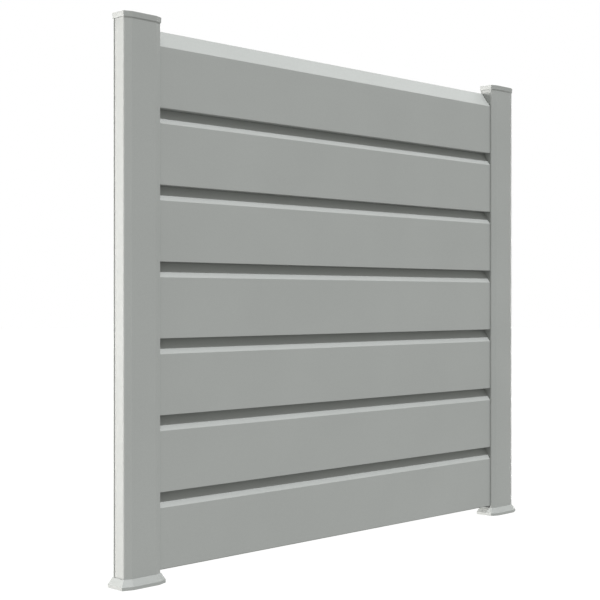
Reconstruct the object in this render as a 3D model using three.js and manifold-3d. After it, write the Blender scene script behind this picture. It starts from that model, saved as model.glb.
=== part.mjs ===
// A garden privacy screen: seven hollow boards stacked between two grooved posts.
//
// Millimetres. +X runs along the screen, -Y is the front, +Z is up.
// The origin is on the ground, in the middle of the screen.

import * as THREE from "three";
import { mergeVertices } from "three/addons/utils/BufferGeometryUtils.js";
import Module from "manifold-3d";

const wasm = await Module();
wasm.setup();

// ---------------------------------------------------------------- driving dimensions

const seatGap = 0.3; // clearance between pieces that seat on each other

// The row of boards
const boardCount = 7;
const boardPitch = 250; // height that one board adds to the wall
const capsAboveBoards = 33; // from the top board's upper edge to the top of the caps
const groundToBoards = 41; // from the ground to the lowest board's lower edge
const postSpacing = 1937; // between the posts' middles

// Post section
const postWidth = 148;
const postLip = 6; // width of the flat on each side of a groove
const postBulge = 9.6; // how far the middle facet stands in front of the corners
const postFlank = 25; // width of each sloping side facet
const postCornerRadius = 6;
const postKinkRadius = 2;
const postWall = 2.4;
const grooveWidth = 44;
const grooveDepth = 22;
const socketWebWall = 2; // webs that make the socket for the spigot tube
const guideRibWidth = 4;
const guideRibInset = 8; // from the socket's webs to the ribs that centre the tube

// Board section, in depth (front to back) and height
const slopeDrop = 51; // from the next board's lower edge down to the foot of the slope
const tongueHeight = 7; // how far the slope's top reaches into the next board
const tongueTop = 0.8;
const backLap = 2; // thickness of the back wall that laps behind the tongue
const boardWall = 2;
const boardRibWall = 1.8;
const boardRibCount = 3;
const mortiseLead = 1.5; // room in front of the tongue where it enters the next board
const boardEdgeRadius = 1.2;
const boardEndRoom = 4; // between a board's end and the bottom of its groove

// Bottom closing strip
const bottomStripWall = 1.1;
const bottomStripInset = 0.6; // back from the board's front and back faces
const bottomStripEndRoom = 1;
const bottomStripKey = 5; // height of the key that stands in the lowest board's mortise

// Strips in the grooves
const stripRecess = 2; // from the post's side to the strip's face
const stripWall = 2.4;
const stripLegWall = 2;
const blockTopWall = 6; // the support block's top, which the lowest board stands on

// Cap and base skirt, moulded with crisp corners
const trimCornerRadius = 1;

// Cap
const capHeight = 18;
const capOverhang = 2.4; // at the upper edge; from there the cap's sides lean in
const capOverhangLow = 1.5; // at the bottom edge
const capBevel = 1;
const capWall = 3;
const capFinDepth = 14;
const capFinWall = 2;
const capFinEndRoom = 1.5;

// Base skirt
const skirtHeight = 32;
const skirtLip = 10.4;
const skirtFlare = 14;
const skirtWall = 2.5;
const skirtTopEdge = 1.2;

// Base plate, spigot tube and fixing screws
const plateThickness = 8;
const plateClearance = 2.5; // from the plate's edge to the inside of the skirt
const plateCornerRadius = 6;
const anchorHoleDiameter = 11;
const spigotSize = 60;
const spigotWall = 3;
const spigotHeight = 400;
const spigotCornerRadius = 4;
const screwDiameter = 5.5;
const screwLength = 32;
const screwTip = 5;
const screwFlangeDiameter = 11;
const screwFlangeThickness = 1;
const screwHexagon = 8; // across the flats
const screwHexagonHeight = 4;
const screwInset = 100; // from the spigot tube's ends to its screws

// Making
const arcSteps = 5; // chords in a rounded corner
const roundSteps = 24; // sides of a round piece
const cutPast = 1; // how far a cutting body reaches past the face that it opens

// ---------------------------------------------------------------- sizes that follow

const postHalfWidth = postWidth / 2;
const grooveHalf = grooveWidth / 2;
const postHalfSide = grooveHalf + postLip; // half the depth at the post's corners
const grooveFloor = postHalfWidth - grooveDepth; // from the post's middle
const socketHalf = spigotSize / 2 + seatGap;
const boardDepth = grooveWidth - 2 * seatGap;
const boardFront = -boardDepth / 2;
const boardLength = postSpacing - postWidth + 2 * (grooveDepth - boardEndRoom);
const clearOpening = postSpacing - postWidth;
const boardHeight = boardPitch + tongueHeight;
const slopeFoot = boardPitch - slopeDrop;
const slopeRise = slopeDrop + tongueHeight;
const tongueBack = boardDepth - backLap - seatGap;
const tongueFront = tongueBack - tongueTop;
const slopeLength = Math.hypot(tongueFront, slopeRise);
const boardsTop = groundToBoards + (boardCount - 1) * boardPitch + boardHeight;
const totalHeight = boardsTop + capsAboveBoards;
const postBottom = plateThickness + seatGap;
const spigotTop = postBottom + spigotHeight;
const screwHeights = [postBottom + screwInset, spigotTop - screwInset];
const plateReach = skirtFlare - skirtWall - plateClearance; // past the post's faces
const postTop = totalHeight - capWall - seatGap;

// Depth of a board's slope at a height above the board's own lower edge
const slopeDepthAt = (height) => ((height - slopeFoot) / slopeRise) * tongueFront;
const mortiseFront = slopeDepthAt(boardPitch) - mortiseLead;
const mortiseBack = boardDepth - backLap;

// ---------------------------------------------------------------- materials

const finish = (color, roughness, metalness) =>
  new THREE.MeshStandardMaterial({ color, roughness, metalness });
const powderCoat = finish(0xa6a9a6, 0.55, 0);
const mouldedPlastic = finish(0xa9aca9, 0.5, 0);
const galvanised = finish(0x9a9c9e, 0.45, 0.9);
const zincScrew = finish(0xb5b7b8, 0.3, 1);
const blackPlastic = finish(0x2c2d2d, 0.6, 0);

// ---------------------------------------------------------------- helpers

// A geometry as a solid that can be joined and cut, and back.
function solidOf(geometry) {
  const bare = new THREE.BufferGeometry();
  const source = geometry.index ? geometry.toNonIndexed() : geometry;
  bare.setAttribute("position", source.getAttribute("position"));
  const merged = mergeVertices(bare, 1e-4);
  return new wasm.Manifold(
    new wasm.Mesh({
      numProp: 3,
      vertProperties: merged.attributes.position.array,
      triVerts: new Uint32Array(merged.index.array),
    }),
  );
}

function geometryOf(solid) {
  const mesh = solid.getMesh();
  const geometry = new THREE.BufferGeometry();
  geometry.setAttribute("position", new THREE.BufferAttribute(mesh.vertProperties, 3));
  geometry.setIndex(new THREE.BufferAttribute(mesh.triVerts, 1));
  return geometry;
}

// Cuts and joins geometries: the first one, less the second list, plus the third list.
function shaped(base, cuts, joins = []) {
  let solid = solidOf(base);
  for (const cut of cuts) solid = solid.subtract(solidOf(cut));
  for (const join of joins) solid = solid.add(solidOf(join));
  return geometryOf(solid);
}

const shapeOf = (points) => new THREE.Shape(points.map(([x, y]) => new THREE.Vector2(x, y)));

// Rounds the corners of an outline. Each point is [x, y] or [x, y, radius].
function rounded(points) {
  const made = [];
  points.forEach(([x, y, radius = 0], i) => {
    if (radius === 0) {
      made.push([x, y]);
      return;
    }
    const corner = new THREE.Vector2(x, y);
    const [px, py] = points[(i + points.length - 1) % points.length];
    const [nx, ny] = points[(i + 1) % points.length];
    const back = new THREE.Vector2(px, py).sub(corner).normalize();
    const ahead = new THREE.Vector2(nx, ny).sub(corner).normalize();
    const half = Math.acos(back.dot(ahead)) / 2;
    const centre = back.clone().add(ahead).normalize().multiplyScalar(radius / Math.sin(half)).add(corner);
    const from = back.multiplyScalar(radius / Math.tan(half)).add(corner).sub(centre);
    const to = ahead.multiplyScalar(radius / Math.tan(half)).add(corner).sub(centre);
    const start = Math.atan2(from.y, from.x);
    const turn = Math.atan2(from.cross(to), from.dot(to));
    for (let step = 0; step <= arcSteps; step++) {
      const angle = start + (turn * step) / arcSteps;
      made.push([centre.x + radius * Math.cos(angle), centre.y + radius * Math.sin(angle)]);
    }
  });
  return made;
}

const rectangle = (x0, x1, y0, y1) => [
  [x0, y0],
  [x1, y0],
  [x1, y1],
  [x0, y1],
];

// Turns an outline drawn for the +X side into its mirror image for the -X side, still anticlockwise.
const onSide = (points, side) => (side > 0 ? points : points.map(([x, y]) => [-x, y]).reverse());

// A plan outline raised from z0 to z1.
const raised = (points, z0, z1) =>
  new THREE.ExtrudeGeometry(shapeOf(points), { depth: z1 - z0, bevelEnabled: false }).translate(0, 0, z0);

// A section outline in (y, z), run along X from x0 to x1.
function runAlongX(points, x0, x1) {
  const turn = new THREE.Matrix4().makeBasis(
    new THREE.Vector3(0, 1, 0),
    new THREE.Vector3(0, 0, 1),
    new THREE.Vector3(1, 0, 0),
  );
  const geometry = new THREE.ExtrudeGeometry(shapeOf(points), { depth: x1 - x0, bevelEnabled: false });
  return geometry.applyMatrix4(turn).translate(x0, 0, 0);
}

// A convex body through a stack of levels, each with the same number of outline points.
function lofted(levels) {
  const count = levels[0].outline.length;
  const positions = levels.flatMap(({ outline, z }) => outline.flatMap(([x, y]) => [x, y, z]));
  const index = [];
  for (let level = 0; level + 1 < levels.length; level++) {
    for (let i = 0; i < count; i++) {
      const a = level * count + i;
      const b = level * count + ((i + 1) % count);
      index.push(a, b, b + count, a, b + count, a + count);
    }
  }
  const top = (levels.length - 1) * count;
  for (let i = 1; i + 1 < count; i++) {
    index.push(0, i + 1, i, top, top + i, top + i + 1);
  }
  const geometry = new THREE.BufferGeometry();
  geometry.setAttribute("position", new THREE.Float32BufferAttribute(positions, 3));
  geometry.setIndex(index);
  return geometry;
}

// A round bar that cuts a hole along X, from xa to xb in either order.
function boreAlongX(radius, xa, xb, z) {
  const bar = new THREE.CylinderGeometry(radius, radius, Math.abs(xb - xa), roundSteps);
  return bar.rotateZ(Math.PI / 2).translate((xa + xb) / 2, 0, z);
}

function named(name, geometry, material) {
  const mesh = new THREE.Mesh(geometry, material);
  mesh.name = name;
  return mesh;
}

// ---------------------------------------------------------------- post plan

// The post's plan, grown outwards by a distance: two sides and, front and back, three facets.
function postPlan(grow, corner) {
  const slope = Math.atan2(postBulge, postFlank);
  const halfWidth = postHalfWidth + grow;
  const halfSide = postHalfSide + (grow * (1 - Math.sin(slope))) / Math.cos(slope);
  const halfFull = postHalfSide + postBulge + grow;
  const kink = postHalfWidth - postFlank + grow * Math.tan(slope / 2);
  return rounded([
    [-halfWidth, -halfSide, corner],
    [-kink, -halfFull, postKinkRadius],
    [kink, -halfFull, postKinkRadius],
    [halfWidth, -halfSide, corner],
    [halfWidth, halfSide, corner],
    [kink, halfFull, postKinkRadius],
    [-kink, halfFull, postKinkRadius],
    [-halfWidth, halfSide, corner],
  ]);
}

// ---------------------------------------------------------------- posts

// The closed chambers between each groove's wall and the sloping facet, one in each corner.
function cornerChambers() {
  const slope = Math.atan2(postBulge, postFlank);
  const inner = grooveFloor;
  const outer = postHalfWidth - postWall;
  const low = grooveHalf + postWall;
  const skin = postWall / Math.cos(slope);
  const facet = (x) => postHalfSide + ((postHalfWidth - x) * postBulge) / postFlank - skin;
  const chamber = [
    [inner, low],
    [outer, low],
    [outer, facet(outer)],
    [inner, facet(inner)],
  ];
  const flipped = chamber.map(([x, y]) => [x, -y]).reverse();
  return [chamber, flipped].flatMap((points) => [onSide(points, 1), onSide(points, -1)]);
}

// The socket in the post's middle, with four ribs that centre the spigot tube.
function socketOutline() {
  const full = postHalfSide + postBulge - postWall;
  const ribFrom = socketHalf - guideRibInset - guideRibWidth;
  const ribTo = socketHalf - guideRibInset;
  const quarter = [
    [ribFrom, full],
    [ribFrom, socketHalf],
    [ribTo, socketHalf],
    [ribTo, full],
    [socketHalf, full],
  ];
  const right = [...quarter.map(([x, y]) => [x, -y]), ...quarter.toReversed()];
  return [...right, ...right.map(([x, y]) => [-x, -y])];
}

function postGeometry(side) {
  const full = postHalfSide + postBulge - postWall;
  const sideChamber = rectangle(socketHalf + socketWebWall, grooveFloor - postWall, -full, full);
  const groove = rectangle(grooveFloor, postHalfWidth + cutPast, -grooveHalf, grooveHalf);
  const hollows = [
    socketOutline(),
    ...cornerChambers(),
    ...[sideChamber, groove].flatMap((points) => [onSide(points, 1), onSide(points, -1)]),
  ];
  const cuts = hollows.map((points) => raised(points, postBottom - cutPast, postTop + cutPast));
  const from = side * (socketHalf - cutPast);
  const to = side * (grooveFloor + cutPast);
  const screwHoles = screwHeights.map((z) => boreAlongX(screwDiameter / 2 + seatGap, from, to, z));
  return shaped(raised(postPlan(0, postCornerRadius), postBottom, postTop), [...cuts, ...screwHoles]);
}

// ---------------------------------------------------------------- strips in the grooves

// The section of a strip in a groove on the +X side: a face and two legs down to the groove's floor.
function stripPlan() {
  const face = postHalfWidth - stripRecess;
  const foot = grooveFloor + seatGap;
  const half = grooveHalf - seatGap;
  return [
    [foot, -half],
    [face, -half],
    [face, half],
    [foot, half],
    [foot, half - stripLegWall],
    [face - stripWall, half - stripLegWall],
    [face - stripWall, -half + stripLegWall],
    [foot, -half + stripLegWall],
  ];
}

const coverStripGeometry = (side) => raised(onSide(stripPlan(), side), postBottom, postTop);

// The short strip above the top board, its foot cut to the board's slope.
function fillerStripGeometry(side) {
  const footLow = groundToBoards + (boardCount - 1) * boardPitch + slopeFoot;
  const strip = raised(onSide(stripPlan(), -side), footLow, postTop);
  const front = boardFront - seatGap;
  const slopeFrontDepth = boardFront + tongueFront;
  const under = [
    [front, footLow - cutPast],
    [grooveHalf, footLow - cutPast],
    [grooveHalf, boardsTop + seatGap],
    [slopeFrontDepth - seatGap, boardsTop + seatGap],
    [front, footLow + seatGap],
  ];
  return shaped(strip, [runAlongX(under, -postHalfWidth, postHalfWidth)]);
}

// Fills the end of the gap above a board's slope, so that nobody looks into the groove there.
function gapFillerGeometry(side, number) {
  const low = groundToBoards + (number - 1) * boardPitch;
  const overSlope = (seatGap * slopeLength) / slopeRise; // the seat gap, measured along the depth
  const top = boardPitch - seatGap;
  const section = [
    [0, slopeFoot + (overSlope / tongueFront) * slopeRise],
    [slopeDepthAt(top) - overSlope, top],
    [0, top],
  ];
  const ends = [side * (grooveFloor + seatGap), side * (postHalfWidth - stripRecess)].map((x) => -x);
  return runAlongX(section, Math.min(...ends), Math.max(...ends)).translate(0, boardFront, low);
}

// The block under the lowest board's end: the same section as the strips, with a top to stand on.
function supportBlockGeometry(side) {
  const top = groundToBoards - seatGap;
  const half = grooveHalf - seatGap;
  const lid = rectangle(grooveFloor + seatGap, postHalfWidth - stripRecess, -half, half);
  const body = raised(onSide(stripPlan(), -side), postBottom, top);
  return shaped(body, [], [raised(onSide(lid, -side), top - blockTopWall, top)]);
}

// ---------------------------------------------------------------- boards

// A board's section, in depth from its front face and height from its lower edge.
function boardSection() {
  const r = boardEdgeRadius;
  return rounded([
    [0, 0, r],
    [mortiseFront, 0],
    [mortiseFront, tongueHeight + seatGap],
    [mortiseBack, tongueHeight + seatGap],
    [mortiseBack, 0],
    [boardDepth, 0],
    [boardDepth, boardPitch - seatGap],
    [tongueBack, boardPitch - seatGap],
    [tongueBack, boardHeight],
    [tongueFront, boardHeight],
    [0, slopeFoot, r],
  ]);
}

// The chambers between the ribs, from the bottom up.
function boardChambers() {
  const back = boardDepth - boardWall;
  const mortiseRoof = tongueHeight + seatGap + boardWall;
  const inSlope = (z) => slopeDepthAt(z) + (boardWall * slopeLength) / slopeRise;
  const ribStep = slopeFoot / boardRibCount;
  const chambers = [];
  for (let i = 0; i < boardRibCount; i++) {
    const floor = i * ribStep + boardRibWall / 2;
    const roof = (i + 1) * ribStep - boardRibWall / 2;
    if (i > 0) {
      chambers.push(rectangle(boardWall, back, floor, roof));
      continue;
    }
    chambers.push([
      [boardWall, boardWall],
      [mortiseFront - boardWall, boardWall],
      [mortiseFront - boardWall, mortiseRoof],
      [back, mortiseRoof],
      [back, roof],
      [boardWall, roof],
    ]);
  }
  const floor = slopeFoot + boardRibWall / 2;
  const shoulder = boardPitch - seatGap - boardWall;
  const tongueInner = tongueBack - boardWall;
  const peak = slopeFoot + ((tongueInner - inSlope(slopeFoot)) / tongueFront) * slopeRise;
  chambers.push([
    [inSlope(floor), floor],
    [back, floor],
    [back, shoulder],
    [tongueInner, shoulder],
    [tongueInner, peak],
  ]);
  return chambers;
}

function boardGeometry(number) {
  const low = groundToBoards + (number - 1) * boardPitch;
  const half = boardLength / 2;
  const cuts = boardChambers().map((points) => runAlongX(points, -half - cutPast, half + cutPast));
  return shaped(runAlongX(boardSection(), -half, half), cuts).translate(0, boardFront, low);
}

// Closes the lowest board's underside between the posts, held by a key in the board's mortise.
function bottomStripGeometry() {
  const top = -seatGap;
  const section = [
    [bottomStripInset, top - bottomStripWall],
    [boardDepth - bottomStripInset, top - bottomStripWall],
    [boardDepth - bottomStripInset, top],
    [mortiseBack - seatGap, top],
    [mortiseBack - seatGap, bottomStripKey],
    [mortiseFront + seatGap, bottomStripKey],
    [mortiseFront + seatGap, top],
    [bottomStripInset, top],
  ];
  const half = clearOpening / 2 - bottomStripEndRoom;
  return runAlongX(section, -half, half).translate(0, boardFront, groundToBoards);
}

// ---------------------------------------------------------------- cap and skirt

function capGeometry() {
  const low = totalHeight - capHeight;
  const body = lofted([
    { outline: postPlan(capOverhangLow, trimCornerRadius), z: low },
    { outline: postPlan(capOverhang, trimCornerRadius), z: totalHeight - capBevel },
    { outline: postPlan(capOverhang - capBevel, trimCornerRadius), z: totalHeight },
  ]);
  const ceiling = totalHeight - capWall;
  const pocket = raised(postPlan(seatGap, postCornerRadius + seatGap), low - cutPast, ceiling);
  const skin = postHalfSide + postBulge - postWall - seatGap;
  const from = socketHalf + socketWebWall + capFinEndRoom;
  const to = grooveFloor - postWall - capFinEndRoom;
  const fins = [1, -1].flatMap((side) =>
    [1, -1].map((face) => {
      const depths = [face * skin, face * (skin - capFinWall)].sort((a, b) => a - b);
      const fin = rectangle(from, to, ...depths);
      return raised(onSide(fin, side), ceiling - capFinDepth, ceiling + capWall / 2);
    }),
  );
  return shaped(body, [pocket], fins);
}

function skirtGeometry() {
  const foot = postPlan(skirtFlare, trimCornerRadius);
  const body = lofted([
    { outline: foot, z: 0 },
    { outline: foot, z: skirtLip },
    { outline: postPlan(skirtTopEdge + seatGap, trimCornerRadius), z: skirtHeight },
  ]);
  const inside = postPlan(skirtFlare - skirtWall, trimCornerRadius);
  const throat = postPlan(seatGap, postCornerRadius + seatGap);
  const hollow = lofted([
    { outline: inside, z: -cutPast },
    { outline: inside, z: skirtLip - skirtWall },
    { outline: throat, z: skirtHeight - skirtWall },
    { outline: throat, z: skirtHeight + cutPast },
  ]);
  return shaped(body, [hollow]);
}

// ---------------------------------------------------------------- base plate, spigot tube, screws

// A flat plate of the post's plan, a little larger, with an anchor hole in the middle of each groove.
function basePlateGeometry() {
  const holeOffset = (grooveFloor + postHalfWidth) / 2;
  const radius = anchorHoleDiameter / 2;
  const holes = [1, -1].map((side) => {
    const bore = new THREE.CylinderGeometry(radius, radius, plateThickness + 2 * cutPast, roundSteps);
    return bore.rotateX(Math.PI / 2).translate(side * holeOffset, 0, plateThickness / 2);
  });
  return shaped(raised(postPlan(plateReach, plateCornerRadius), 0, plateThickness), holes);
}

function spigotGeometry(side) {
  const half = spigotSize / 2;
  const inner = half - spigotWall;
  const square = (h, radius) => rounded(rectangle(-h, h, -h, h).map(([x, y]) => [x, y, radius]));
  const body = raised(square(half, spigotCornerRadius), postBottom, spigotTop);
  const innerRadius = spigotCornerRadius - spigotWall;
  const bore = raised(square(inner, innerRadius), postBottom - cutPast, spigotTop + cutPast);
  const from = side * (inner - cutPast);
  const to = side * (half + cutPast);
  const screwHoles = screwHeights.map((z) => boreAlongX(screwDiameter / 2 + seatGap, from, to, z));
  return shaped(body, [bore, ...screwHoles]);
}

// A hexagon flange screw, from the groove's floor through the post's walls into the spigot tube.
function screwGeometry(side, z) {
  const shank = screwDiameter / 2;
  const flange = screwFlangeDiameter / 2;
  const profile = [
    [0, -screwLength],
    [shank, -screwLength + screwTip],
    [shank, 0],
    [flange, 0],
    [flange, screwFlangeThickness],
    [0, screwFlangeThickness],
  ].map(([x, y]) => new THREE.Vector2(x, y));
  const turned = new THREE.LatheGeometry(profile, roundSteps);
  const halfAcross = screwHexagon / Math.sqrt(3);
  const hexagon = new THREE.CylinderGeometry(halfAcross, halfAcross, screwHexagonHeight, 6);
  const screw = shaped(turned, [], [hexagon.translate(0, screwHexagonHeight / 2, 0)]);
  return screw.rotateZ((-side * Math.PI) / 2).translate(side * (grooveFloor + seatGap), 0, z);
}

// ---------------------------------------------------------------- the screen

function postAssembly(side, word) {
  const group = new THREE.Group();
  group.position.x = (side * postSpacing) / 2;
  group.add(
    named(`post_${word}`, postGeometry(side), powderCoat),
    named(`post_cap_${word}`, capGeometry(), mouldedPlastic),
    named(`base_skirt_${word}`, skirtGeometry(), mouldedPlastic),
    named(`cover_strip_${word}`, coverStripGeometry(side), powderCoat),
    named(`filler_strip_${word}`, fillerStripGeometry(side), powderCoat),
    named(`support_block_${word}`, supportBlockGeometry(side), blackPlastic),
    named(`base_plate_${word}`, basePlateGeometry(), galvanised),
    named(`spigot_tube_${word}`, spigotGeometry(side), galvanised),
  );
  screwHeights.forEach((z, i) => {
    group.add(named(`fixing_screw_${word}_${i + 1}`, screwGeometry(side, z), zincScrew));
  });
  for (let number = 1; number < boardCount; number++) {
    group.add(named(`gap_filler_${word}_${number}`, gapFillerGeometry(side, number), mouldedPlastic));
  }
  return group;
}

const screen = new THREE.Group();
screen.add(postAssembly(-1, "left"), postAssembly(1, "right"));
for (let number = 1; number <= boardCount; number++) {
  screen.add(named(`board_${number}`, boardGeometry(number), powderCoat));
}
screen.add(named("bottom_closing_strip", bottomStripGeometry(), powderCoat));

export default screen;
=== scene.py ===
# %% [markdown]
# # A garden privacy screen, from the drawing to the picture
#
# The screen is a wall of wide hollow boards between two posts. Every metal piece that shows is an aluminium
# extrusion: one section, pushed through a die and cut to length. So nearly every piece here is made the same
# way, as an outline that is swept along one axis. Only the caps, the base skirts and the small gap fillers are
# moulded.
#
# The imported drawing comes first. It fixes where each piece is, and nothing below moves it.

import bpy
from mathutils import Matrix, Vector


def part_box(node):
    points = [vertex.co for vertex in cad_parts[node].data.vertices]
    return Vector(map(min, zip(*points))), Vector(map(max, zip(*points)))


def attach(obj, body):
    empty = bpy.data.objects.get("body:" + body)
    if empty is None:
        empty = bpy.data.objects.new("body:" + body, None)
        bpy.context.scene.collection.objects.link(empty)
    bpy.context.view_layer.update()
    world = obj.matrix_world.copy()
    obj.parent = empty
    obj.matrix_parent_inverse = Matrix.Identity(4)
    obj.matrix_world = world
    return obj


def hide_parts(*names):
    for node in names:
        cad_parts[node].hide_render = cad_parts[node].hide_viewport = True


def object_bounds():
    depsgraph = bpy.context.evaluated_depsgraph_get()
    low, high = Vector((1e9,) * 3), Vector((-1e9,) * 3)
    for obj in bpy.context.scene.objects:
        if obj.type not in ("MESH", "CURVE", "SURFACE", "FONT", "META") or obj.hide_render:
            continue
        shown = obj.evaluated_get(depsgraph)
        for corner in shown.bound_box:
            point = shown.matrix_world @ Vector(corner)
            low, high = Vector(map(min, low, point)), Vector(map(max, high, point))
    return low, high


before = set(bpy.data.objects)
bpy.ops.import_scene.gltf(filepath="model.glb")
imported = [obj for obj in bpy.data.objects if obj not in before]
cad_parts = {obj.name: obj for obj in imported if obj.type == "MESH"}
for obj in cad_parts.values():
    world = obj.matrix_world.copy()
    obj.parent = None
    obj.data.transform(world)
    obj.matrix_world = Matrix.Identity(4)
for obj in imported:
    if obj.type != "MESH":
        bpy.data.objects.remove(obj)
drawn_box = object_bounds()
print("pieces in the drawing:", len(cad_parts))

# %% [markdown]
# ## Units
#
# Blender works in metres, and a metal worker thinks in millimetres. One factor turns one into the other, so
# every size below can be written as it would stand on a drawing.

# %% Units
import bmesh
import bpy
import math
from mathutils import Vector
from mathutils.geometry import tessellate_polygon

MM = 0.001
scene = bpy.context.scene
low, high = (Vector(corner) for corner in drawn_box)
print("drawn size in mm:", [round(side / MM) for side in high - low])

# %% [markdown]
# ## The camera
#
# The photograph looks along the screen at 45 degrees. The upright edges stay parallel in it, so the camera is
# level, and the eye is at half the screen's height. How fast the boards shrink towards the far post gives the
# distance and the lens: about 4.8 metres away with a 75 mm lens.

# %% Camera
CAMERA_PLACE = Vector((-3439.1, -3211.7, 916.0)) * MM
CAMERA_TURN = math.radians(-45)
LENS = 75.0
SENSOR = 36.0
FARTHEST_SEEN = 200.0

camera_data = bpy.data.cameras.new("camera")
camera_data.lens = LENS
camera_data.sensor_width = SENSOR
camera_data.clip_end = FARTHEST_SEEN
camera = bpy.data.objects.new("camera", camera_data)
camera.location = CAMERA_PLACE
camera.rotation_euler = (math.pi / 2, 0, CAMERA_TURN)
scene.collection.objects.link(camera)
scene.camera = camera
print("camera to the middle of the screen, in m:", round(CAMERA_PLACE.length, 2))

# %% [markdown]
# ## Colours and nodes
#
# Colours are written as the hex values that a screen shows. The renderer adds light up in linear values, so
# one function turns one into the other. A second small function adds a shader node, with its settings and with
# what goes into its sockets, which keeps each material short enough to read.


# %% Colour and node helpers
def linear(hex_colour, alpha=1.0):
    """An sRGB hex colour, such as "9a9d9a", as linear red, green, blue and alpha."""
    channels = [int(hex_colour[i : i + 2], 16) / 255 for i in (0, 2, 4)]
    return [c / 12.92 if c <= 0.04045 else ((c + 0.055) / 1.055) ** 2.4 for c in channels] + [alpha]


def add_node(tree, kind, sockets=None, **settings):
    """Adds a node. A socket gets either a value or the output of another node."""
    made = tree.nodes.new(kind)
    for name, value in settings.items():
        setattr(made, name, value)
    for name, value in (sockets or {}).items():
        if isinstance(value, bpy.types.NodeSocket):
            tree.links.new(value, made.inputs[name])
        else:
            made.inputs[name].default_value = value
    return made


print("mid grey 808080 in linear light:", round(linear("808080")[0], 3))

# %% [markdown]
# ## The studio
#
# The photograph is taken in an even white studio. Seven things can be read from it.
#
# - Under each board's lower edge there is a sharp shadow on the slope below it. Its height says that the main
#   light stands steeply above the front, at 71.5 degrees. It is a touch cool.
# - The left sides are much brighter than the front, but the posts' facets, which turn 21 degrees to the left,
#   aren't. So the light from the left comes mostly from behind the screen. Its shade on the short strip above
#   the top board starts softly, so it comes from a wide stretch: here soft lights, 25 degrees across.
# - The background is pure white, and the fronts are still mid grey, so the white in front of the screen is
#   dimmer as a light than it looks. Behind the screen only the soft lights count, so the white there is
#   almost switched off as a light, and the screen's back keeps a tone of its own.
# - The boards' undersides are no darker than the shadow above the slopes, so light comes from below too.
# - The open band along the top is brighter than the slopes in the gaps, though both lean the same way. Only
#   the band sees straight up, so there is a bright ceiling.
# - The band grows a little brighter towards the far post, where it mirrors something above the right end. A
#   large soft box does that. It is kept out of the diffuse light, because the facets that turn right stay dark.
# - The left sides are a touch warmer than the front, and so are the soft lights.

# %% Studio lights
KEY_ELEVATION = 71.5
KEY_STRENGTH = 3.42
KEY_WIDTH = 1
KEY_TINT = "fbfbff"
SOFT_WIDTH = 25
SOFT_TINT = "fffcfb"
SOFT_LIGHTS = (
    ("left_fill_light", -90, 0.24),
    ("left_side_light", -105, 1.06),
    ("left_rear_light", -120, 1.6),
    ("left_back_light", -145, 2.02),
    ("right_side_light", 118, 3.4),
    ("right_back_light", 145, 0.4),
)
SHEEN_PLACE = Vector((1.8, -0.2, 3.1))
SHEEN_AIM = Vector((0.4, 0, 1.8))
SHEEN_BOX = 1.5
SHEEN_WATTS = 8


def turned_towards(direction):
    """The rotation of a lamp whose light comes from this direction."""
    return direction.to_track_quat("Z", "Y").to_euler()


def add_sun(name, azimuth, elevation, strength, width, tint):
    """A far light. Azimuth 0 is in front, 90 at the right; the width is the light's angle across."""
    around = math.radians(azimuth)
    up = math.radians(elevation)
    towards = Vector((math.sin(around) * math.cos(up), -math.cos(around) * math.cos(up), math.sin(up)))
    data = bpy.data.lights.new(name, "SUN")
    data.energy = strength
    data.angle = math.radians(width)
    data.color = linear(tint)[:3]
    lamp = bpy.data.objects.new(name, data)
    lamp.rotation_euler = turned_towards(towards)
    scene.collection.objects.link(lamp)


add_sun("key_light", 0, KEY_ELEVATION, KEY_STRENGTH, KEY_WIDTH, KEY_TINT)
for name, azimuth, strength in SOFT_LIGHTS:
    add_sun(name, azimuth, 0, strength, SOFT_WIDTH, SOFT_TINT)

sheen_data = bpy.data.lights.new("sheen_light", "AREA")
sheen_data.size = SHEEN_BOX
sheen_data.energy = SHEEN_WATTS
sheen_light = bpy.data.objects.new("sheen_light", sheen_data)
sheen_light.location = SHEEN_PLACE
sheen_light.rotation_euler = turned_towards(SHEEN_PLACE - SHEEN_AIM)
sheen_light.visible_diffuse = False
sheen_light.visible_camera = False
scene.collection.objects.link(sheen_light)

# %% [markdown]
# ## The white around the screen
#
# White walls light the screen too. They are all drawn at once, as the world behind everything, whose strength
# depends on the direction: strong low in front, weaker high in front, a bright ceiling straight overhead, and
# hardly anything behind. A room of real white walls would do the same, but it takes longer to render and each
# wall would have to be set against the others. The camera sees plain white whatever the strength, so the
# picture's background is even.

# %% White surroundings
AHEAD_LOW, AHEAD_HIGH = 0.77, 0.475
BEHIND = 0.1
OVERHEAD = 3.1
SKY_TINT = "fffffd"
HORIZON_BLEND = (-0.2, 0.2)
BEHIND_BLEND = (0.3, 0.5)
OVERHEAD_BLEND = (0.85, 0.95)

world = bpy.data.worlds.new("white_studio")
world.use_nodes = True
sky = world.node_tree
sky.nodes.clear()
looking = add_node(sky, "ShaderNodeTexCoord").outputs["Generated"]
direction = add_node(sky, "ShaderNodeSeparateXYZ", {"Vector": looking}).outputs


def blend(value, stretch, value_before, value_after):
    """Goes from one value to another while the input crosses the stretch."""
    ends = {"From Min": stretch[0], "From Max": stretch[1], "To Min": value_before, "To Max": value_after}
    return add_node(sky, "ShaderNodeMapRange", {"Value": value, **ends}).outputs["Result"]


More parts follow.
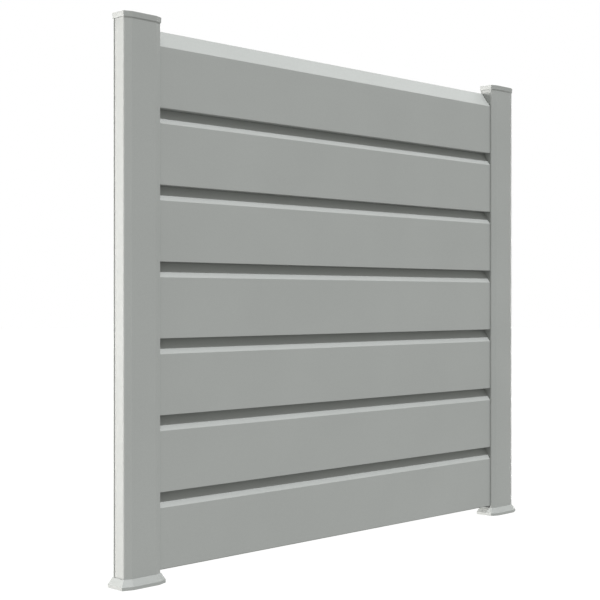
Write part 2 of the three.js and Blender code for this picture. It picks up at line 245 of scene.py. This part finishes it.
ahead = blend(direction["Z"], HORIZON_BLEND, AHEAD_LOW, AHEAD_HIGH)
all_round = blend(direction["Y"], BEHIND_BLEND, ahead, BEHIND)
with_ceiling = blend(direction["Z"], OVERHEAD_BLEND, all_round, OVERHEAD)
as_light = add_node(sky, "ShaderNodeBackground", {"Color": linear(SKY_TINT), "Strength": with_ceiling})
as_seen = add_node(sky, "ShaderNodeBackground", {"Color": linear("ffffff")})
seen = add_node(sky, "ShaderNodeLightPath").outputs["Is Camera Ray"]
either = {0: seen, 1: as_light.outputs["Background"], 2: as_seen.outputs["Background"]}
both = add_node(sky, "ShaderNodeMixShader", either)
add_node(sky, "ShaderNodeOutputWorld", {"Surface": both.outputs["Shader"]})
scene.world = world
scene.view_settings.view_transform = "Standard"
print("light from ahead, behind and overhead:", AHEAD_HIGH, BEHIND, OVERHEAD)

# %% [markdown]
# ## The floor
#
# The floor is a light table: a wide sheet of opal acrylic that is lit from below, so the screen's own shadow
# fades out. Only the camera sees it: the light that the floor throws on the screen is already in the
# surroundings, where it can be set by itself.

# %% Floor
FLOOR_HALF = 30.0
SHEET_CLOUDS = 400 * MM
SHEET_GLOW = 0.98
SHEET_ROUGHNESS = 0.9


def opal_acrylic():
    """A cast opal sheet, lit from below: satin, and very slightly cloudy."""
    material = bpy.data.materials.new("opal_acrylic_lit_from_below")
    material.use_nodes = True
    tree = material.node_tree
    tree.nodes.clear()
    place = add_node(tree, "ShaderNodeTexCoord")
    clouds = add_node(
        tree, "ShaderNodeTexNoise", {"Vector": place.outputs["Object"], "Scale": 1 / SHEET_CLOUDS}
    )
    tint = add_node(tree, "ShaderNodeValToRGB", {"Fac": clouds.outputs["Fac"]})
    tint.color_ramp.elements[0].color = linear("3c3c3b")
    tint.color_ramp.elements[1].color = linear("414140")
    surface = add_node(
        tree,
        "ShaderNodeBsdfPrincipled",
        {
            "Base Color": tint.outputs["Color"],
            "Roughness": SHEET_ROUGHNESS,
            "Specular IOR Level": 0.0,
            "Emission Color": linear("ffffff"),
            "Emission Strength": SHEET_GLOW,
        },
    )
    add_node(tree, "ShaderNodeOutputMaterial", {"Surface": surface.outputs["BSDF"]})
    return material


floor_mesh = bpy.data.meshes.new("floor")
floor_mesh.from_pydata(
    [(x * FLOOR_HALF, y * FLOOR_HALF, 0) for x, y in ((-1, -1), (1, -1), (1, 1), (-1, 1))], [], [(0, 1, 2, 3)]
)
floor_mesh.materials.append(opal_acrylic())
floor = bpy.data.objects.new("floor", floor_mesh)
floor.visible_diffuse = False
floor.visible_glossy = False
floor.visible_shadow = False
scene.collection.objects.link(floor)
print("floor across, in m:", 2 * FLOOR_HALF)

# %% [markdown]
# ## Powder-coated aluminium
#
# The posts, boards and strips are aluminium that was sprayed with polyester powder and baked at about 200
# degrees. The powder melts to a skin a tenth of a millimetre thick. To the eye it is paint, not metal: no
# metallic shine, a soft highlight, and a fine grit where the grains did not quite flow together. Under that
# lies a wavy orange peel, a few millimetres from crest to crest.
#
# The grit is about 0.4 mm across on the real screen, a tenth of a pixel here. It is drawn 3 mm across, so that
# the bright sides still show a fine speckle.

# %% Powder coat
GRIT = 3 * MM
ORANGE_PEEL = 9 * MM
COAT_CLOUDS = 350 * MM
SPECKLE = 0.02
NOISE_SPREAD = (0.3, 0.7)


def noise_at(tree, place, size, detail=2.0):
    """Noise whose patches are about this size, in metres."""
    return add_node(tree, "ShaderNodeTexNoise", {"Vector": place, "Scale": 1 / size, "Detail": detail})


def between(tree, factor, value_low, value_high, spread=NOISE_SPREAD):
    """Stretches a noise, which seldom leaves its spread, over a range of values."""
    ends = {"From Min": spread[0], "From Max": spread[1], "To Min": value_low, "To Max": value_high}
    return add_node(tree, "ShaderNodeMapRange", {"Value": factor, **ends}).outputs["Result"]


def two_tones(tree, factor, dark_hex, light_hex, dark_at, light_at):
    """A colour that goes from dark to light as the factor grows."""
    ramp = add_node(tree, "ShaderNodeValToRGB", {"Fac": factor})
    for stop, position, colour in zip(ramp.color_ramp.elements, (dark_at, light_at), (dark_hex, light_hex)):
        stop.position = position
        stop.color = linear(colour)
    return ramp.outputs["Color"]


def grained_material(name, light_hex, dark_hex, grit, waves, rough, rough_spread, grit_height, wave_height):
    """An opaque skin: cloudy colour, a speckle of grit, and a bump of grit on longer waves."""
    material = bpy.data.materials.new(name)
    material.use_nodes = True
    tree = material.node_tree
    tree.nodes.clear()
    place = add_node(tree, "ShaderNodeTexCoord").outputs["Object"]
    clouds = noise_at(tree, place, COAT_CLOUDS)
    grains = noise_at(tree, place, grit, 1.0)
    peel = noise_at(tree, place, waves)
    tint = two_tones(tree, clouds.outputs["Fac"], dark_hex, light_hex, *NOISE_SPREAD)
    speckled = add_node(
        tree,
        "ShaderNodeHueSaturation",
        {"Value": between(tree, grains.outputs["Fac"], 1 - SPECKLE, 1 + SPECKLE), "Color": tint},
    )
    long_bump = add_node(
        tree,
        "ShaderNodeBump",
        {"Height": peel.outputs["Fac"], "Distance": wave_height, "Strength": 1.0},
    )
    bump = add_node(
        tree,
        "ShaderNodeBump",
        {
            "Height": grains.outputs["Fac"],
            "Distance": grit_height,
            "Strength": 1.0,
            "Normal": long_bump.outputs["Normal"],
        },
    )
    surface = add_node(
        tree,
        "ShaderNodeBsdfPrincipled",
        {
            "Base Color": speckled.outputs["Color"],
            "Roughness": between(tree, peel.outputs["Fac"], rough - rough_spread, rough + rough_spread),
            "Normal": bump.outputs["Normal"],
        },
    )
    add_node(tree, "ShaderNodeOutputMaterial", {"Surface": surface.outputs["BSDF"]})
    return material


powder_coat = grained_material(
    "powder_coated_aluminium",
    light_hex="9a9d9a",
    dark_hex="979a97",
    grit=GRIT,
    waves=ORANGE_PEEL,
    rough=0.52,
    rough_spread=0.05,
    grit_height=0.05 * MM,
    wave_height=0.03 * MM,
)
print("made:", powder_coat.name)

# %% [markdown]
# ## Moulded trim
#
# The caps, skirts and gap fillers are injection-moulded ASA, a plastic that stands sunlight. The mould's
# surface was etched to a fine even grain, so the plastic passes for powder coat from a step away. It is a touch
# smoother and has no orange peel, only the long soft waves of a plastic that shrank as it cooled. The etched
# grain is finer than a tenth of a millimetre and is drawn 2.5 mm across.

# %% Moulded plastic
MOULD_GRAIN = 2.5 * MM
MOULD_FLOW = 60 * MM

moulded_trim = grained_material(
    "moulded_asa",
    light_hex="999c99",
    dark_hex="969996",
    grit=MOULD_GRAIN,
    waves=MOULD_FLOW,
    rough=0.46,
    rough_spread=0.04,
    grit_height=0.03 * MM,
    wave_height=0.05 * MM,
)
print("made:", moulded_trim.name)

# %% [markdown]
# ## Hidden metal and plastic
#
# Under the skirts and behind the strips are a galvanised plate and tube, zinc-plated screws and a black
# plastic block. Hot-dip zinc cools in crystals a centimetre or so across, which is the spangle that one knows
# from a bucket. Electroplated zinc is thin, even and brighter.

# %% Zinc and black plastic
SPANGLE = 14 * MM
PLATING_CLOUDS = 3 * MM
GLOSS_SPREAD = 0.08


def zinc_coated_steel(name, crystal, light_hex, dark_hex, roughness):
    """Steel in its zinc: a metal whose crystals differ in tone and in gloss."""
    material = bpy.data.materials.new(name)
    material.use_nodes = True
    tree = material.node_tree
    tree.nodes.clear()
    place = add_node(tree, "ShaderNodeTexCoord").outputs["Object"]
    crystals = add_node(tree, "ShaderNodeTexVoronoi", {"Vector": place, "Scale": 1 / crystal})
    tone = add_node(tree, "ShaderNodeSeparateColor", {"Color": crystals.outputs["Color"]})
    tint = two_tones(tree, tone.outputs["Red"], dark_hex, light_hex, 0, 1)
    surface = add_node(
        tree,
        "ShaderNodeBsdfPrincipled",
        {
            "Base Color": tint,
            "Metallic": 1.0,
            "Roughness": between(
                tree, tone.outputs["Green"], roughness - GLOSS_SPREAD, roughness + GLOSS_SPREAD, (0, 1)
            ),
        },
    )
    add_node(tree, "ShaderNodeOutputMaterial", {"Surface": surface.outputs["BSDF"]})
    return material


galvanised_steel = zinc_coated_steel("hot_dip_galvanised_steel", SPANGLE, "c3c6c8", "a7abad", 0.42)
zinc_plate = zinc_coated_steel("zinc_plated_steel", PLATING_CLOUDS, "d2d4d6", "c6c9cb", 0.28)
black_plastic = grained_material(
    "moulded_black_polyamide",
    light_hex="2b2c2c",
    dark_hex="262727",
    grit=MOULD_GRAIN,
    waves=MOULD_FLOW,
    rough=0.55,
    rough_spread=0.05,
    grit_height=0.03 * MM,
    wave_height=0.05 * MM,
)
print("made:", galvanised_steel.name, zinc_plate.name, black_plastic.name)

# %% [markdown]
# ## Outlines
#
# An extrusion starts as an outline with a few corners. A die never has quite sharp corners, and a rounded edge
# is what catches the light, so each corner is a point with a radius. This function walks round the corners and
# puts an arc in each.


# %% Rounded outline
ARC_STEPS = 8


def rounded(corners):
    """Corners are (u, v) or (u, v, radius) in mm. Returns the outline's points in metres, with arcs."""
    outline = []
    for i, (u, v, *rest) in enumerate(corners):
        corner = Vector((u, v))
        if not rest:
            outline.append(corner * MM)
            continue
        radius = rest[0]
        back = (Vector(corners[i - 1][:2]) - corner).normalized()
        ahead = (Vector(corners[(i + 1) % len(corners)][:2]) - corner).normalized()
        half = math.acos(back.dot(ahead)) / 2
        centre = corner + (back + ahead).normalized() * radius / math.sin(half)
        start = corner + back * radius / math.tan(half) - centre
        end = corner + ahead * radius / math.tan(half) - centre
        turn = math.atan2(start.x * end.y - start.y * end.x, start.dot(end))
        for step in range(ARC_STEPS + 1):
            angle = turn * step / ARC_STEPS
            cos, sin = math.cos(angle), math.sin(angle)
            spoke = Vector((start.x * cos - start.y * sin, start.x * sin + start.y * cos))
            outline.append((centre + spoke) * MM)
    return outline


print("points in a rounded square:", len(rounded([(0, 0, 1), (9, 0, 1), (9, 9, 1), (0, 9, 1)])))

# %% [markdown]
# ## Extrusions
#
# The extrusion itself is two copies of the outline, joined by one strip of faces for each edge. Hollows are
# further outlines inside the first. The ends need faces with holes in them, and Blender's tessellation
# function cuts these into triangles.
#
# Smooth shading rounds the arcs off, and would also make the wide flat faces look bent. Two things stop that:
# edges that turn more than 30 degrees stay sharp, and the Weighted Normal modifier lets the big flat faces
# decide the shading along their borders.

# %% Extrusion
SHARP_ANGLE = math.radians(30)
FLAT_FACE_WEIGHT = 100
STANDING = {"along": 2, "across": (0, 1)}
LYING = {"along": 0, "across": (1, 2)}


def finished_piece(name, mesh_data, material):
    """Shades a mesh, gives it its finish, and hands it to the screen's only body."""
    mesh_data.polygons.foreach_set("use_smooth", [True] * len(mesh_data.polygons))
    mesh_data.set_sharp_from_angle(angle=SHARP_ANGLE)
    mesh_data.materials.append(material)
    piece = bpy.data.objects.new(name, mesh_data)
    scene.collection.objects.link(piece)
    flats = piece.modifiers.new("flat faces stay flat", "WEIGHTED_NORMAL")
    flats.keep_sharp = True
    flats.weight = FLAT_FACE_WEIGHT
    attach(piece, "root")
    return piece


def extrusion(name, outlines, direction, start, end, material):
    """Sweeps outlines, the outer one first and then the hollows, from start to end along one axis."""
    shape = bmesh.new()
    along, (u_axis, v_axis) = direction["along"], direction["across"]
    ends = []
    for distance in (start, end):
        loops = []
        for outline in outlines:
            loop = []
            for point in outline:
                place = [0.0, 0.0, 0.0]
                place[along], place[u_axis], place[v_axis] = distance, point.x, point.y
                loop.append(shape.verts.new(place))
            loops.append(loop)
        ends.append(loops)
    for first, last in zip(*ends):
        for i in range(len(first)):
            j = (i + 1) % len(first)
            shape.faces.new((first[i], first[j], last[j], last[i]))
    triangles = tessellate_polygon([[point.to_3d() for point in outline] for outline in outlines])
    for loops in ends:
        corners = [vertex for loop in loops for vertex in loop]
        for triangle in triangles:
            shape.faces.new([corners[i] for i in triangle])
    bmesh.ops.recalc_face_normals(shape, faces=shape.faces)
    mesh_data = bpy.data.meshes.new(name)
    shape.to_mesh(mesh_data)
    shape.free()
    return finished_piece(name, mesh_data, material)


print("faces that turn more than", round(math.degrees(SHARP_ANGLE)), "degrees keep a sharp edge")

# %% [markdown]
# ## The boards
#
# Each board is a hollow box with one long slope at its top. The slope runs up and back, and its upper edge
# hides in the board above. So rain runs off the front, nobody sees through, and a shadow gap shows between
# every two boards. On the back the boards close flush.
#
# Depth is counted from the board's front face and height from its lower edge. The drawing gives the depth, the
# length and the place of each board; only the section's inner sizes are set here.

# %% Board section
SLOPE_DROP = 51.0
TONGUE_HEIGHT = 7.0
TONGUE_TOP = 0.8
BACK_LAP = 2.0
MORTISE_LEAD = 1.5
SEAT_GAP = 0.3
BOARD_WALL = 2.0
RIB_WALL = 1.8
RIB_COUNT = 3
FRONT_EDGE = 1.2
BACK_EDGE = 0.8
BOARD_COUNT = sum(name.startswith("board_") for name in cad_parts)


def board_sections(depth, height):
    """The board's outline and its hollows, in mm from the front face and the lower edge."""
    pitch = height - TONGUE_HEIGHT
    foot = pitch - SLOPE_DROP
    rise = SLOPE_DROP + TONGUE_HEIGHT
    tongue_back = depth - BACK_LAP - SEAT_GAP
    tongue_front = tongue_back - TONGUE_TOP
    mortise_front = SLOPE_DROP / rise * tongue_front - MORTISE_LEAD
    mortise_back = depth - BACK_LAP
    mortise_roof = TONGUE_HEIGHT + SEAT_GAP
    outline = [
        (0, 0, FRONT_EDGE),
        (mortise_front, 0),
        (mortise_front, mortise_roof),
        (mortise_back, mortise_roof),
        (mortise_back, 0),
        (depth, 0, BACK_EDGE),
        (depth, pitch - SEAT_GAP, BACK_EDGE),
        (tongue_back, pitch - SEAT_GAP),
        (tongue_back, height),
        (tongue_front, height),
        (0, foot, FRONT_EDGE),
    ]
    return [outline] + board_hollows(depth, pitch, foot, rise, tongue_back, tongue_front, mortise_front)


def board_hollows(depth, pitch, foot, rise, tongue_back, tongue_front, mortise_front):
    """The chambers between the ribs, from the bottom up."""
    inner_back = depth - BOARD_WALL
    step = foot / RIB_COUNT
    over_mortise = TONGUE_HEIGHT + SEAT_GAP + BOARD_WALL
    half_rib = RIB_WALL / 2
    lowest = [
        (BOARD_WALL, BOARD_WALL),
        (mortise_front - BOARD_WALL, BOARD_WALL),
        (mortise_front - BOARD_WALL, over_mortise),
        (inner_back, over_mortise),
        (inner_back, step - half_rib),
        (BOARD_WALL, step - half_rib),
    ]
    middle = []
    for i in range(1, RIB_COUNT):
        floor_height, roof_height = i * step + half_rib, (i + 1) * step - half_rib
        middle.append(
            [
                (BOARD_WALL, floor_height),
                (inner_back, floor_height),
                (inner_back, roof_height),
                (BOARD_WALL, roof_height),
            ]
        )
    slope_wall = BOARD_WALL * math.hypot(tongue_front, rise) / rise
    floor_height = foot + half_rib
    shoulder = pitch - SEAT_GAP - BOARD_WALL
    tongue_inner = tongue_back - BOARD_WALL
    top = [
        (half_rib / rise * tongue_front + slope_wall, floor_height),
        (inner_back, floor_height),
        (inner_back, shoulder),
        (tongue_inner, shoulder),
        (tongue_inner, foot + (tongue_inner - slope_wall) / tongue_front * rise),
    ]
    return [lowest, *middle, top]


def moved(corners, u, v):
    """Corners shifted by u and v, in mm."""
    return [(corner[0] + u, corner[1] + v, *corner[2:]) for corner in corners]


first_low, first_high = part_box("board_1")
print("board, depth and height in mm:", [round(side / MM, 1) for side in (first_high - first_low)[1:]])

# %% Boards
for number in range(1, BOARD_COUNT + 1):
    node = f"board_{number}"
    board_low, board_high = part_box(node)
    depth, height = (board_high.y - board_low.y) / MM, (board_high.z - board_low.z) / MM
    sections = [
        rounded(moved(corners, board_low.y / MM, board_low.z / MM))
        for corners in board_sections(depth, height)
    ]
    board = extrusion(
        f"hollow_board_{number}",
        sections,
        LYING,
        board_low.x,
        board_high.x,
        powder_coat,
    )
    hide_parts(node)
print("boards:", BOARD_COUNT, "of length", round((board_high.x - board_low.x) / MM), "mm")

# %% [markdown]
# ## The posts
#
# From above a post is a flat box whose front and back bulge a little, in three facets. Each side has a groove:
# the boards' ends stand in the inner one, and the outer one waits for a next screen and is closed by a strip.
# The hollow in the middle takes the steel tube on the base plate.

# %% Post section
POST_WIDTH = 148.0
POST_BULGE = 9.6
POST_FLANK = 25.0
POST_LIP = 6.0
POST_CORNER = 6.0
POST_KINK = 2.0
POST_WALL = 2.4
GROOVE_WIDTH = 44.0
GROOVE_DEPTH = 22.0
GROOVE_EDGE = 0.6
SOCKET_HALF = 30.3
SOCKET_WALL = 2.0
POST_HALF = POST_WIDTH / 2
GROOVE_HALF = GROOVE_WIDTH / 2
CORNER_DEPTH = GROOVE_HALF + POST_LIP
GROOVE_FLOOR = POST_HALF - GROOVE_DEPTH
FLANK_TURN = math.atan2(POST_BULGE, POST_FLANK)


def mirrored(corners):
    """The same corners on the other side of the middle, and in the other order."""
    return [(-corner[0], *corner[1:]) for corner in reversed(corners)]


def post_outline():
    """Half of the plan with its groove, from the front round to the back, and then the mirrored half."""
    kink = POST_HALF - POST_FLANK
    half = [
        (kink, -CORNER_DEPTH - POST_BULGE, POST_KINK),
        (POST_HALF, -CORNER_DEPTH, POST_CORNER),
        (POST_HALF, -GROOVE_HALF, GROOVE_EDGE),
        (GROOVE_FLOOR, -GROOVE_HALF),
        (GROOVE_FLOOR, GROOVE_HALF),
        (POST_HALF, GROOVE_HALF, GROOVE_EDGE),
        (POST_HALF, CORNER_DEPTH, POST_CORNER),
        (kink, CORNER_DEPTH + POST_BULGE, POST_KINK),
    ]
    return half + mirrored(half)


def post_hollows():
    """The tube's socket, a chamber at each side of it, and one behind each facet."""
    full = CORNER_DEPTH + POST_BULGE - POST_WALL
    socket = [(-SOCKET_HALF, -full), (SOCKET_HALF, -full), (SOCKET_HALF, full), (-SOCKET_HALF, full)]
    chamber_low, chamber_high = SOCKET_HALF + SOCKET_WALL, GROOVE_FLOOR - POST_WALL
    side = [(chamber_low, -full), (chamber_high, -full), (chamber_high, full), (chamber_low, full)]
    outer = POST_HALF - POST_WALL
    bottom = GROOVE_HALF + POST_WALL
    skin = POST_WALL / math.cos(FLANK_TURN)
    corner = [
        (GROOVE_FLOOR, bottom),
        (outer, bottom),
        (outer, CORNER_DEPTH + (POST_HALF - outer) * POST_BULGE / POST_FLANK - skin),
        (GROOVE_FLOOR, CORNER_DEPTH + GROOVE_DEPTH * POST_BULGE / POST_FLANK - skin),
    ]
    front_corner = [(u, -v) for u, v in reversed(corner)]
    right = [side, corner, front_corner]
    return [socket, *right, *[mirrored(hollow) for hollow in right]]


post_low, post_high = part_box("post_left")
print("post in the drawing, in mm:", [round(side / MM, 1) for side in post_high - post_low])

# %% Posts
SIDES = ("left", "right")


def middle_of(node):
    """The middle of a node's box, across the screen, in mm."""
    node_low, node_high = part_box(node)
    return (node_low.x + node_high.x) / 2 / MM


for side in SIDES:
    node = f"post_{side}"
    node_low, node_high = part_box(node)
    post = extrusion(
        f"grooved_post_{side}",
        [rounded(moved(corners, middle_of(node), 0)) for corners in [post_outline(), *post_hollows()]],
        STANDING,
        node_low.z,
        node_high.z,
        powder_coat,
    )
    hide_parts(node)
print("post middles, in mm:", [round(middle_of(f"post_{side}")) for side in SIDES])

# %% [markdown]
# ## The strips in the grooves
#
# A cover strip closes the groove on each free side. It is a channel: a flat face on two legs, which push
# against the groove's walls. The same strip, cut short, fills what is left of the inner grooves above the top
# board, and there its foot is cut to the board's slope.

# %% Strip section
STRIP_WALL = 2.4
STRIP_LEG = 2.0
STRIP_EDGE = 0.5


def strip_corners(node, towards):
    """The channel's outline in mm: the drawing gives its box, towards says which way its face looks."""
    node_low, node_high = (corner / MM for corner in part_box(node))
    face, foot = (node_high.x, node_low.x) if towards > 0 else (node_low.x, node_high.x)
    front, back = node_low.y, node_high.y
    return [
        (foot, front),
        (face, front, STRIP_EDGE),
        (face, back, STRIP_EDGE),
        (foot, back),
        (foot, back - STRIP_LEG),
        (face - towards * STRIP_WALL, back - STRIP_LEG),
        (face - towards * STRIP_WALL, front + STRIP_LEG),
        (foot, front + STRIP_LEG),
    ]


# %% Cover and filler strips
def cut_to_slope(piece, corner, slope_normal):
    """Cuts away what lies below a sloping plane, and closes the cut."""
    shape = bmesh.new()
    shape.from_mesh(piece.data)
    everything = shape.verts[:] + shape.edges[:] + shape.faces[:]
    cut = bmesh.ops.bisect_plane(
        shape, geom=everything, plane_co=corner, plane_no=slope_normal, clear_inner=True
    )
    rim = [item for item in cut["geom_cut"] if isinstance(item, bmesh.types.BMEdge)]
    bmesh.ops.triangle_fill(shape, edges=rim, use_beauty=True)
    bmesh.ops.recalc_face_normals(shape, faces=shape.faces)
    shape.to_mesh(piece.data)
    shape.free()


top_low, top_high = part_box(f"board_{BOARD_COUNT}")
slope_foot = Vector((0, top_low.y, top_high.z - (SLOPE_DROP + TONGUE_HEIGHT) * MM))
slope_run = (top_high.y - top_low.y) / MM - BACK_LAP - SEAT_GAP - TONGUE_TOP
slope_up = Vector((0, -(SLOPE_DROP + TONGUE_HEIGHT), slope_run)).normalized()

for side, outward in zip(SIDES, (-1, 1)):
    for kind, towards in (("cover", outward), ("filler", -outward)):
        node = f"{kind}_strip_{side}"
        node_low, node_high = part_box(node)
        strip = extrusion(
            f"groove_{kind}_{side}",
            [rounded(strip_corners(node, towards))],
            STANDING,
            node_low.z,
            node_high.z,
            powder_coat,
        )
        if kind == "filler":
            cut_to_slope(strip, slope_foot + slope_up * SEAT_GAP * MM, slope_up)
        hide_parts(node)
print("slope of the boards' tops, in degrees from upright:", round(math.degrees(math.asin(slope_up.z))))

# %% [markdown]
# ## The gap fillers
#
# The slopes end inside the posts' grooves. A small moulded wedge stands on each slope's end, so that nobody
# looks into the groove past it. Its section is half of the drawing's box: from the slope's foot up to the
# next board, and back along the slope.

# %% Gap fillers
FILLER_EDGE = 0.3

for side in SIDES:
    for number in range(1, BOARD_COUNT):
        node = f"gap_filler_{side}_{number}"
        node_low, node_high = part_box(node)
        low_corner, high_corner = node_low / MM, node_high / MM
        wedge = [
            (low_corner.y, low_corner.z, FILLER_EDGE),
            (high_corner.y, high_corner.z, FILLER_EDGE),
            (low_corner.y, high_corner.z, FILLER_EDGE),
        ]
        filler = extrusion(
            f"moulded_gap_filler_{side}_{number}",
            [rounded(wedge)],
            LYING,
            node_low.x,
            node_high.x,
            moulded_trim,
        )
        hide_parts(node)
print("gap fillers, depth and height in mm:", [round(side / MM, 1) for side in (node_high - node_low)[1:]])

# %% [markdown]
# ## The strip under the lowest board
#
# The hollow that takes the next board's slope is open at the bottom of the lowest board, so a thin strip closes
# it. A key on the strip's upper side stands in the hollow and keeps it in place. The strip is set back a
# little, and in the photograph it is the slightly darker line along the lowest edge.

# %% Bottom closing strip
BOTTOM_STRIP_WALL = 1.1
BOTTOM_STRIP_EDGE = 0.4

strip_low, strip_high = (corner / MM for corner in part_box("bottom_closing_strip"))
strip_top = strip_low.z + BOTTOM_STRIP_WALL
mortise_front = SLOPE_DROP / (SLOPE_DROP + TONGUE_HEIGHT) * slope_run - MORTISE_LEAD
key_front = first_low.y / MM + mortise_front + SEAT_GAP
key_back = first_high.y / MM - BACK_LAP - SEAT_GAP
bottom_strip = extrusion(
    "thin_bottom_strip",
    [
        rounded(
            [
                (strip_low.y, strip_low.z, BOTTOM_STRIP_EDGE),
                (strip_high.y, strip_low.z, BOTTOM_STRIP_EDGE),
                (strip_high.y, strip_top),
                (key_back, strip_top),
                (key_back, strip_high.z),
                (key_front, strip_high.z),
                (key_front, strip_top),
                (strip_low.y, strip_top),
            ]
        )
    ],
    LYING,
    strip_low.x * MM,
    strip_high.x * MM,
    powder_coat,
)
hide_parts("bottom_closing_strip")
print("bottom strip is", BOTTOM_STRIP_WALL, "mm thick")

# %% [markdown]
# ## Caps and skirts
#
# A moulded piece is drawn another way. Its outline grows and shrinks with the height, so it is a stack of
# rings, and each ring is the post's plan moved outwards by some distance. The posts' facets are parallel to
# the cap's, as on the real screen. Moulded corners are crisper than extruded ones.

# %% Rings
TRIM_CORNER = 1.0
EDGE_STEPS = 5


def plan_ring(grow, height, middle):
    """The post's plan, grown by some mm, at a height, in metres."""
    half_width = POST_HALF + grow
    corner_depth = CORNER_DEPTH + grow * (1 - math.sin(FLANK_TURN)) / math.cos(FLANK_TURN)
    full_depth = CORNER_DEPTH + POST_BULGE + grow
    kink = POST_HALF - POST_FLANK + grow * math.tan(FLANK_TURN / 2)
    half = [
        (kink, -full_depth, POST_KINK),
        (half_width, -corner_depth, TRIM_CORNER),
        (half_width, corner_depth, TRIM_CORNER),
        (kink, full_depth, POST_KINK),
    ]
    outline = rounded(moved(half + mirrored(half), middle, 0))
    return [(point.x, point.y, height * MM) for point in outline]


def ring_stack(name, rings, closed, material):
    """Joins each ring to the next. A closed stack joins the last to the first; an open one gets two lids."""
    shape = bmesh.new()
    rows = [[shape.verts.new(point) for point in ring] for ring in rings]
    pairs = list(zip(rows, rows[1:])) + ([(rows[-1], rows[0])] if closed else [])
    for one, other in pairs:
        for i in range(len(one)):
            j = (i + 1) % len(one)
            shape.faces.new((one[i], one[j], other[j], other[i]))
    if not closed:
        shape.faces.new(rows[0])
        shape.faces.new(rows[-1])
    bmesh.ops.recalc_face_normals(shape, faces=shape.faces)
    mesh_data = bpy.data.meshes.new(name)
    shape.to_mesh(mesh_data)
    shape.free()
    return finished_piece(name, mesh_data, material)


def quarter_round(grow, height, radius):
    """An edge rounded over, as (grow, height) pairs, from the side face up to the top face."""
    turns = [math.pi / 2 * step / EDGE_STEPS for step in range(EDGE_STEPS + 1)]
    return [
        (grow - radius * (1 - math.cos(turn)), height - radius * (1 - math.sin(turn))) for turn in turns
    ]


print("points in the post's plan:", len(plan_ring(0, 0, 0)))

# %% [markdown]
# ## The caps
#
# A cap keeps the rain out of the post. Its sides lean in towards the bottom, and the bottom edge still stands
# 1.5 mm out from the post, which throws the dark line below it. Under its roof the cap is hollow, and the
# post's end stands in it. Only the top edge is rounded enough to see.

# %% Caps
CAP_OVERHANG = 2.4
CAP_OVERHANG_LOW = 1.5
CAP_EDGE = 1.0
CAP_ROOF = 3.0

for side in SIDES:
    node = f"post_cap_{side}"
    node_low, node_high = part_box(node)
    bottom, top = node_low.z / MM, node_high.z / MM
    middle = middle_of(node)
    outside = [(CAP_OVERHANG_LOW, bottom), *quarter_round(CAP_OVERHANG, top, CAP_EDGE)]
    inside = [(SEAT_GAP, top - CAP_ROOF), (SEAT_GAP, bottom)]
    rings = [plan_ring(grow, height, middle) for grow, height in inside + outside]
    cap = ring_stack(f"moulded_cap_{side}", rings, False, moulded_trim)
    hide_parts(node)
print("caps made, top at", round(top), "mm")

# %% [markdown]
# ## The base skirts
#
# A skirt hides the base plate and its anchors. It is an open ring with a short upright lip on the ground and a
# slope from there up to the post. Its stack goes up outside, over the top edge and down again inside.

# %% Base skirts
SKIRT_LIP = 10.4
SKIRT_FLARE = 14.0
SKIRT_WALL = 2.5
SKIRT_TOP_EDGE = 1.2

for side in SIDES:
    node = f"base_skirt_{side}"
    node_low, node_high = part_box(node)
    top = node_high.z / MM
    middle = middle_of(node)
    outside = [(SKIRT_FLARE, 0), (SKIRT_FLARE, SKIRT_LIP), (SKIRT_TOP_EDGE + SEAT_GAP, top)]
    inside = [
        (SEAT_GAP, top),
        (SEAT_GAP, top - SKIRT_WALL),
        (SKIRT_FLARE - SKIRT_WALL, SKIRT_LIP - SKIRT_WALL),
        (SKIRT_FLARE - SKIRT_WALL, 0),
    ]
    rings = [plan_ring(grow, height, middle) for grow, height in outside + inside]
    skirt = ring_stack(f"moulded_skirt_{side}", rings, True, moulded_trim)
    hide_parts(node)
print("skirts made, top at", round(top), "mm")

# %% [markdown]
# ## Pieces that keep the drawing's shape
#
# The plates, tubes, screws and blocks are hidden once the screen stands, and their drawn shape is right. They
# only get their finish.

# %% Finishes for the hidden pieces
HIDDEN_FINISHES = {
    "base_plate": galvanised_steel,
    "spigot_tube": galvanised_steel,
    "fixing_screw": zinc_plate,
    "support_block": black_plastic,
}

for name, node_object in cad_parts.items():
    for start, material in HIDDEN_FINISHES.items():
        if name.startswith(start):
            node_object.data.materials.clear()
            node_object.data.materials.append(material)
            print(name, "->", material.name)
